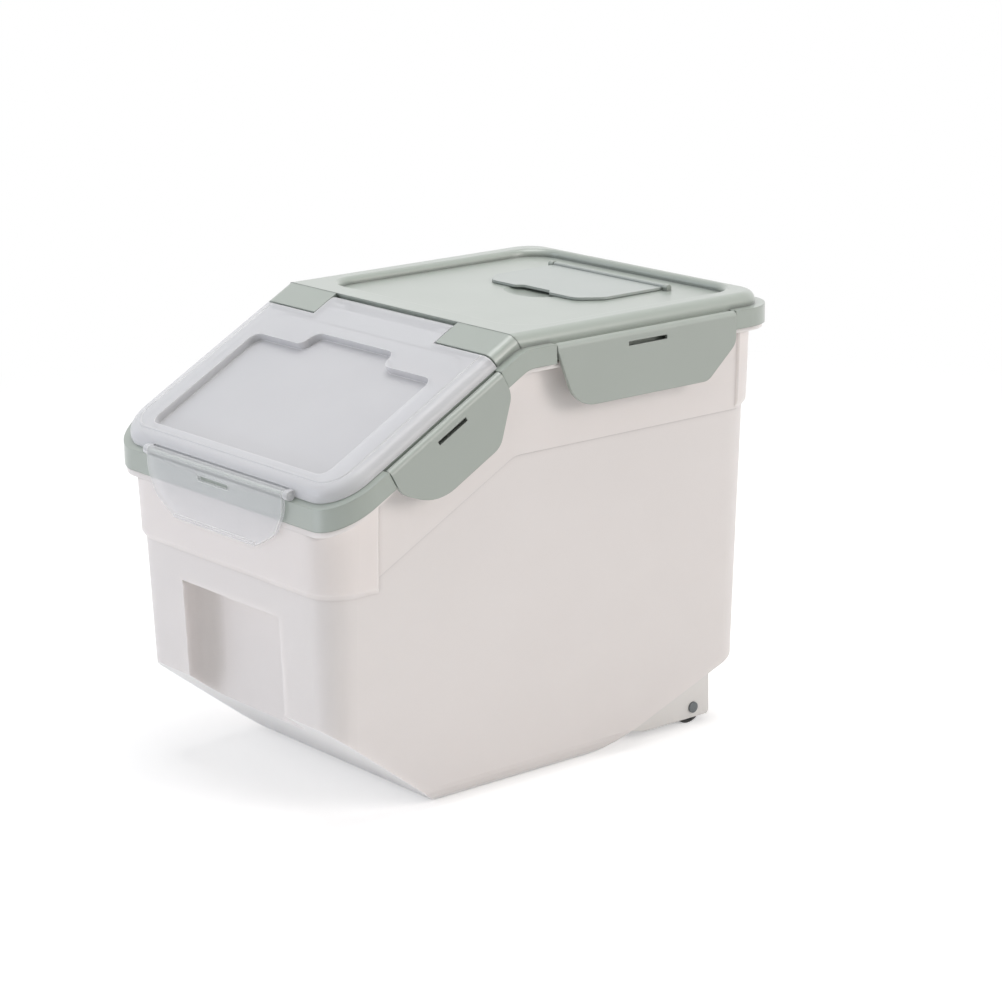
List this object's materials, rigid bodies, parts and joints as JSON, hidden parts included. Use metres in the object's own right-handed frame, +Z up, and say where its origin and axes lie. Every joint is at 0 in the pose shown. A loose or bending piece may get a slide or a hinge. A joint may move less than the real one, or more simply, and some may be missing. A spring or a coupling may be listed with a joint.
{
  "type": "rice bin with flip lid",
  "caption": "Slope-fronted rice bin with lift-off clipped lid, clear flip lid with latch, tray with desiccant hatch, and small rear wheels",
  "frame": {"origin": "centre of the footprint, on the floor", "axes": "+Z up; front, with the flip lid and grip recess, faces -Y; +X is the right-hand side seen from the front"},
  "size_m": [0.2292, 0.3292, 0.268],
  "materials": {
    "milky_pp": "translucent milky white polypropylene, satin",
    "lid_pp": "sage green polypropylene, satin",
    "clip_pp": "sage green polypropylene, satin",
    "hatch_pp": "pale sage polypropylene, satin",
    "clear_plastic": "frosted clear plastic with a faint blue cast",
    "silicone": "soft white silicone",
    "box_pp": "pale polypropylene, satin",
    "bracket_pp": "grey green polypropylene, satin",
    "wheel_nylon": "black nylon",
    "axle_steel": "bright steel pin",
    "pin_plastic": "moulded hinge pin"
  },
  "bodies": {
    "base": {"tub": "milky_pp", "wheel_bracket_left": "bracket_pp", "wheel_bracket_right": "bracket_pp", "axle_left": "axle_steel", "axle_right": "axle_steel"},
    "lid": {"main_lid": "lid_pp", "main_lid_seal": "silicone", "clip_pin_front_left": "pin_plastic", "clip_pin_front_right": "pin_plastic", "clip_pin_rear_left": "pin_plastic", "clip_pin_rear_right": "pin_plastic", "hatch_hinge_pin_left": "pin_plastic", "hatch_hinge_pin_right": "pin_plastic", "desiccant_box": "box_pp", "desiccant_grille": "box_pp", "flip_hinge_pin_left": "pin_plastic", "flip_hinge_pin_right": "pin_plastic"},
    "flip": {"flip_lid": "clear_plastic", "flip_lid_seal": "silicone", "front_latch_pin": "pin_plastic"},
    "latch": {"front_latch": "clear_plastic"},
    "clip_fl": {"clip_front_left": "clip_pp"},
    "clip_fr": {"clip_front_right": "clip_pp"},
    "clip_rl": {"clip_rear_left": "clip_pp"},
    "clip_rr": {"clip_rear_right": "clip_pp"},
    "hatch": {"hatch_door": "hatch_pp"},
    "wheel_l": {"wheel_left": "wheel_nylon"},
    "wheel_r": {"wheel_right": "wheel_nylon"}
  },
  "joints": [
    {"name": "main_lid_lift", "type": "slide", "parent": "base", "child": "lid", "axis": [0, 0, 1], "range_m": [0, 0.09]},
    {"name": "flip_lid_hinge", "type": "hinge", "parent": "lid", "child": "flip", "pos_m": [0, -0.03796, 0.26076], "axis": [-1, 0, 0], "range_deg": [0, 85]},
    {"name": "front_latch_hinge", "type": "hinge", "parent": "flip", "child": "latch", "pos_m": [0, -0.1627, 0.19241], "axis": [-1, 0, 0], "range_deg": [0, 95]},
    {"name": "clip_front_left_hinge", "type": "hinge", "parent": "lid", "child": "clip_fl", "pos_m": [-0.1116, -0.08824, 0.22667], "axis": [0, 0.8751, 0.484], "range_deg": [0, 95]},
    {"name": "clip_rear_left_hinge", "type": "hinge", "parent": "lid", "child": "clip_rl", "pos_m": [-0.1116, 0.057, 0.2574], "axis": [0, 1, 0], "range_deg": [0, 95]},
    {"name": "clip_front_right_hinge", "type": "hinge", "parent": "lid", "child": "clip_fr", "pos_m": [0.1116, -0.08824, 0.22667], "axis": [0, -0.8751, -0.484], "range_deg": [0, 95]},
    {"name": "clip_rear_right_hinge", "type": "hinge", "parent": "lid", "child": "clip_rr", "pos_m": [0.1116, 0.057, 0.2574], "axis": [0, -1, 0], "range_deg": [0, 95]},
    {"name": "hatch_hinge", "type": "hinge", "parent": "lid", "child": "hatch", "pos_m": [0, 0.1265, 0.2653], "axis": [-1, 0, 0], "range_deg": [0, 95]},
    {"name": "wheel_left_spin", "type": "hinge", "parent": "base", "child": "wheel_l", "pos_m": [-0.075, 0.1213, 0.011], "axis": [1, 0, 0], "continuous": true},
    {"name": "wheel_right_spin", "type": "hinge", "parent": "base", "child": "wheel_r", "pos_m": [0.075, 0.1213, 0.011], "axis": [1, 0, 0], "continuous": true}
  ]
}
